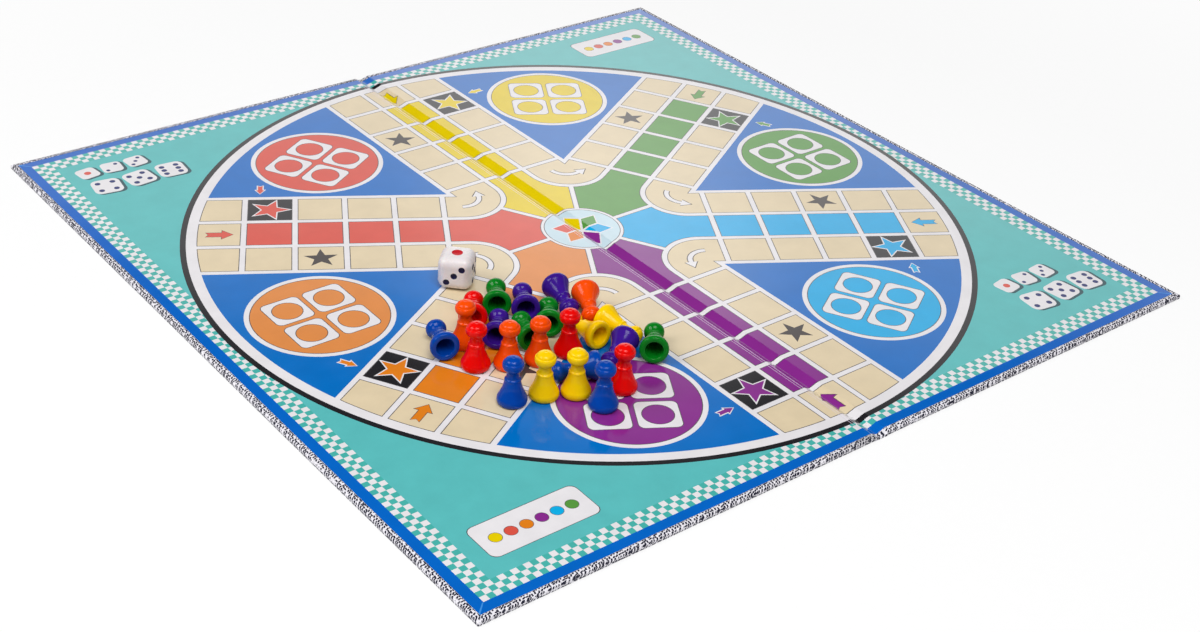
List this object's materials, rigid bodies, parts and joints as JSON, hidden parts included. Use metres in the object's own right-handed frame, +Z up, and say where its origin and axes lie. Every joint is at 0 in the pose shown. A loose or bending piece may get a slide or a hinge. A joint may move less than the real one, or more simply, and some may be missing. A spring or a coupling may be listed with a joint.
{
  "type": "ludo board",
  "caption": "Square ludo board that folds across its middle, lying open with its moulded pawns in a pile and its die beside them.",
  "frame": {"origin": "under the centre of the open board, on the surface that it lies on", "axes": "+X across the fold to the right leaf, +Y along the fold, +Z up from the playing face"},
  "size_m": [0.356, 0.356, 0.0215],
  "materials": {
    "greyboard": "matte",
    "cover_paper": "matte print in dark blue dashes on white",
    "printed_sheet": "gloss laminated colour print",
    "die_plastic": "gloss",
    "red_plastic": "gloss, injection moulded",
    "orange_plastic": "gloss, injection moulded",
    "yellow_plastic": "gloss, injection moulded",
    "green_plastic": "gloss, injection moulded",
    "blue_plastic": "gloss, injection moulded",
    "purple_plastic": "gloss, injection moulded"
  },
  "bodies": {
    "left_leaf": {"left_greyboard": "greyboard", "left_cover_wrap": "cover_paper", "left_print_sheet": "printed_sheet"},
    "spine": {"spine_cover_strip": "cover_paper", "gutter_print_strip": "printed_sheet"},
    "right_leaf": {"right_greyboard": "greyboard", "right_cover_wrap": "cover_paper", "right_print_sheet": "printed_sheet"},
    "pawn_red_1": {"pawn_red_1": "red_plastic"},
    "pawn_red_2": {"pawn_red_2": "red_plastic"},
    "pawn_red_3": {"pawn_red_3": "red_plastic"},
    "pawn_red_4": {"pawn_red_4": "red_plastic"},
    "pawn_orange_1": {"pawn_orange_1": "orange_plastic"},
    "pawn_orange_2": {"pawn_orange_2": "orange_plastic"},
    "pawn_orange_3": {"pawn_orange_3": "orange_plastic"},
    "pawn_orange_4": {"pawn_orange_4": "orange_plastic"},
    "pawn_yellow_1": {"pawn_yellow_1": "yellow_plastic"},
    "pawn_yellow_2": {"pawn_yellow_2": "yellow_plastic"},
    "pawn_yellow_3": {"pawn_yellow_3": "yellow_plastic"},
    "pawn_yellow_4": {"pawn_yellow_4": "yellow_plastic"},
    "pawn_green_1": {"pawn_green_1": "green_plastic"},
    "pawn_green_2": {"pawn_green_2": "green_plastic"},
    "pawn_green_3": {"pawn_green_3": "green_plastic"},
    "pawn_green_4": {"pawn_green_4": "green_plastic"},
    "pawn_blue_1": {"pawn_blue_1": "blue_plastic"},
    "pawn_blue_2": {"pawn_blue_2": "blue_plastic"},
    "pawn_blue_3": {"pawn_blue_3": "blue_plastic"},
    "pawn_blue_4": {"pawn_blue_4": "blue_plastic"},
    "pawn_purple_1": {"pawn_purple_1": "purple_plastic"},
    "pawn_purple_2": {"pawn_purple_2": "purple_plastic"},
    "pawn_purple_3": {"pawn_purple_3": "purple_plastic"},
    "pawn_purple_4": {"pawn_purple_4": "purple_plastic"},
    "die": {"die": "die_plastic"}
  },
  "joints": [
    {"name": "spine_fold", "type": "hinge", "parent": "left_leaf", "child": "spine", "pos_m": [-0.0034, 0, 0.0002], "axis": [0, -1, 0], "range_deg": [0, 60], "deforming": ["gutter_print_strip"]},
    {"name": "right_leaf_fold", "type": "hinge", "parent": "spine", "child": "right_leaf", "pos_m": [0.0034, 0, 0.0002], "axis": [0, -1, 0], "range_deg": [0, 60], "deforming": ["gutter_print_strip"]},
    {"name": "pawn_red_1_lift", "type": "slide", "parent": "left_leaf", "child": "pawn_red_1", "axis": [0, 0, 1], "range_m": [0, 0.03]},
    {"name": "pawn_red_2_lift", "type": "slide", "parent": "left_leaf", "child": "pawn_red_2", "axis": [0, 0, 1], "range_m": [0, 0.03]},
    {"name": "pawn_red_3_lift", "type": "slide", "parent": "left_leaf", "child": "pawn_red_3", "axis": [0, 0, 1], "range_m": [0, 0.03]},
    {"name": "pawn_red_4_lift", "type": "slide", "parent": "left_leaf", "child": "pawn_red_4", "axis": [0, 0, 1], "range_m": [0, 0.03]},
    {"name": "pawn_orange_1_lift", "type": "slide", "parent": "left_leaf", "child": "pawn_orange_1", "axis": [0, 0, 1], "range_m": [0, 0.03]},
    {"name": "pawn_orange_2_lift", "type": "slide", "parent": "left_leaf", "child": "pawn_orange_2", "axis": [0, 0, 1], "range_m": [0, 0.03]},
    {"name": "pawn_orange_3_lift", "type": "slide", "parent": "left_leaf", "child": "pawn_orange_3", "axis": [0, 0, 1], "range_m": [0, 0.03]},
    {"name": "pawn_orange_4_lift", "type": "slide", "parent": "left_leaf", "child": "pawn_orange_4", "axis": [0, 0, 1], "range_m": [0, 0.03]},
    {"name": "pawn_yellow_1_lift", "type": "slide", "parent": "left_leaf", "child": "pawn_yellow_1", "axis": [0, 0, 1], "range_m": [0, 0.03]},
    {"name": "pawn_yellow_2_lift", "type": "slide", "parent": "left_leaf", "child": "pawn_yellow_2", "axis": [0, 0, 1], "range_m": [0, 0.03]},
    {"name": "pawn_yellow_3_lift", "type": "slide", "parent": "left_leaf", "child": "pawn_yellow_3", "axis": [0, 0, 1], "range_m": [0, 0.03]},
    {"name": "pawn_yellow_4_lift", "type": "slide", "parent": "left_leaf", "child": "pawn_yellow_4", "axis": [0, 0, 1], "range_m": [0, 0.03]},
    {"name": "pawn_green_1_lift", "type": "slide", "parent": "left_leaf", "child": "pawn_green_1", "axis": [0, 0, 1], "range_m": [0, 0.03]},
    {"name": "pawn_green_2_lift", "type": "slide", "parent": "left_leaf", "child": "pawn_green_2", "axis": [0, 0, 1], "range_m": [0, 0.03]},
    {"name": "pawn_green_3_lift", "type": "slide", "parent": "left_leaf", "child": "pawn_green_3", "axis": [0, 0, 1], "range_m": [0, 0.03]},
    {"name": "pawn_green_4_lift", "type": "slide", "parent": "left_leaf", "child": "pawn_green_4", "axis": [0, 0, 1], "range_m": [0, 0.03]},
    {"name": "pawn_blue_1_lift", "type": "slide", "parent": "left_leaf", "child": "pawn_blue_1", "axis": [0, 0, 1], "range_m": [0, 0.03]},
    {"name": "pawn_blue_2_lift", "type": "slide", "parent": "left_leaf", "child": "pawn_blue_2", "axis": [0, 0, 1], "range_m": [0, 0.03]},
    {"name": "pawn_blue_3_lift", "type": "slide", "parent": "left_leaf", "child": "pawn_blue_3", "axis": [0, 0, 1], "range_m": [0, 0.03]},
    {"name": "pawn_blue_4_lift", "type": "slide", "parent": "left_leaf", "child": "pawn_blue_4", "axis": [0, 0, 1], "range_m": [0, 0.03]},
    {"name": "pawn_purple_1_lift", "type": "slide", "parent": "left_leaf", "child": "pawn_purple_1", "axis": [0, 0, 1], "range_m": [0, 0.03]},
    {"name": "pawn_purple_2_lift", "type": "slide", "parent": "left_leaf", "child": "pawn_purple_2", "axis": [0, 0, 1], "range_m": [0, 0.03]},
    {"name": "pawn_purple_3_lift", "type": "slide", "parent": "left_leaf", "child": "pawn_purple_3", "axis": [0, 0, 1], "range_m": [0, 0.03]},
    {"name": "pawn_purple_4_lift", "type": "slide", "parent": "left_leaf", "child": "pawn_purple_4", "axis": [0, 0, 1], "range_m": [0, 0.03]},
    {"name": "die_lift", "type": "slide", "parent": "left_leaf", "child": "die", "axis": [0, 0, 1], "range_m": [0, 0.03]}
  ],
  "couplings": [
    {"joint": "spine_fold", "follows": "right_leaf_fold", "ratio": 1}
  ]
}
